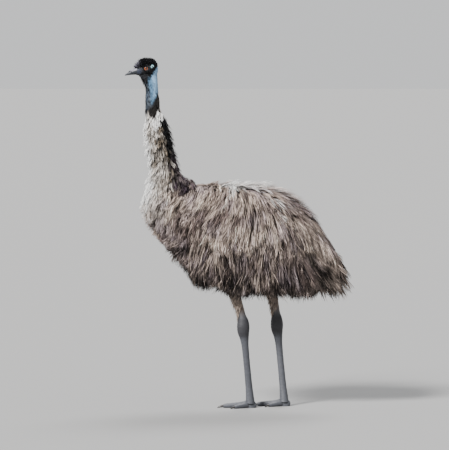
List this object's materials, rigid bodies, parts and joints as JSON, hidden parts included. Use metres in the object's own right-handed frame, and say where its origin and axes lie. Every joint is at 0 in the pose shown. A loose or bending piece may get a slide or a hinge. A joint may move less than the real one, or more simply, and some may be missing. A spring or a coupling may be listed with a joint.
{
  "type": "emu",
  "caption": "Standing emu, life size: shaggy parted plumage, long upright neck, flat dark bill and two bare scaled legs on three-toed feet.",
  "frame": {"origin": "on the floor, under the middle of the model's bounding box", "axes": "the bird faces -X, its back is up +Z, and its left side is -Y"},
  "size_m": [1.0986, 0.4846, 1.7256],
  "materials": {
    "body_plumage": "matte",
    "plumage": "matte",
    "neck_plumage": "matte",
    "head_skin": "matte",
    "neck_skin": "matte",
    "bill_horn": "satin",
    "eyeball": "gloss",
    "leg_skin": "matte",
    "claw_horn": "satin"
  },
  "bodies": {
    "root": {"head": "head_skin", "bill_upper": "bill_horn", "bill_lower": "bill_horn", "eye_left": "eyeball", "eye_right": "eyeball", "ear_left": "neck_skin", "ear_right": "neck_skin", "neck_upper": "neck_skin", "neck_lower": "neck_plumage", "breast": "plumage", "torso": "body_plumage", "tail": "plumage", "wing_right": "plumage", "wing_left": "plumage", "leg_left_shank": "plumage", "leg_left_tarsus": "leg_skin", "toe_left_inner": "leg_skin", "toe_left_middle": "leg_skin", "toe_left_outer": "leg_skin", "claw_left_inner": "claw_horn", "claw_left_middle": "claw_horn", "claw_left_outer": "claw_horn", "leg_right_shank": "plumage", "leg_right_tarsus": "leg_skin", "toe_right_inner": "leg_skin", "toe_right_middle": "leg_skin", "toe_right_outer": "leg_skin", "claw_right_inner": "claw_horn", "claw_right_middle": "claw_horn", "claw_right_outer": "claw_horn"}
  },
  "joints": []
}
